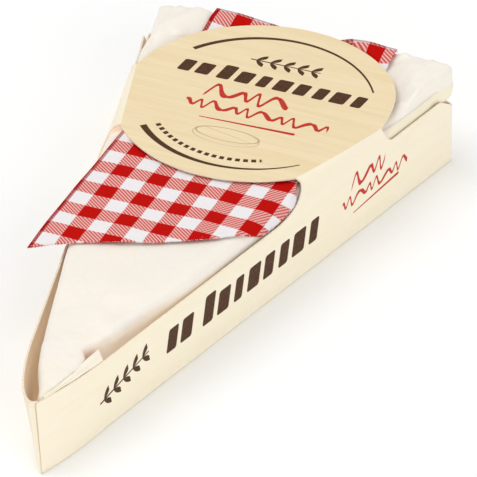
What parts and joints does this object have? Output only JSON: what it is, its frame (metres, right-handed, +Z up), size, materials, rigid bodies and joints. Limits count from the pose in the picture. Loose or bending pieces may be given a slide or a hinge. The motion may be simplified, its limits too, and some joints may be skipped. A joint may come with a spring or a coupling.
{
  "type": "brie wedge",
  "caption": "Wedge of brie in white paper, standing in a boat-shaped card tray whose necks carry a round disc over a gingham cloth.",
  "frame": {"origin": "middle of the pack's bounding box, on the surface it stands on", "axes": "+Y from the nose of the wedge to its curved heel, +Z up, +X to the side with the low notch in front of the disc as seen in the picture"},
  "size_m": [0.079, 0.1652, 0.0258],
  "materials": {
    "card": "cream card printed with pale wood grain, satin varnish",
    "waxed_paper": "warm white waxed paper, crinkled",
    "gingham": "red and white checked cotton, matt"
  },
  "bodies": {
    "root": {"card_tray": "card", "wrapped_brie": "waxed_paper", "gingham_sheet": "gingham"}
  },
  "joints": []
}
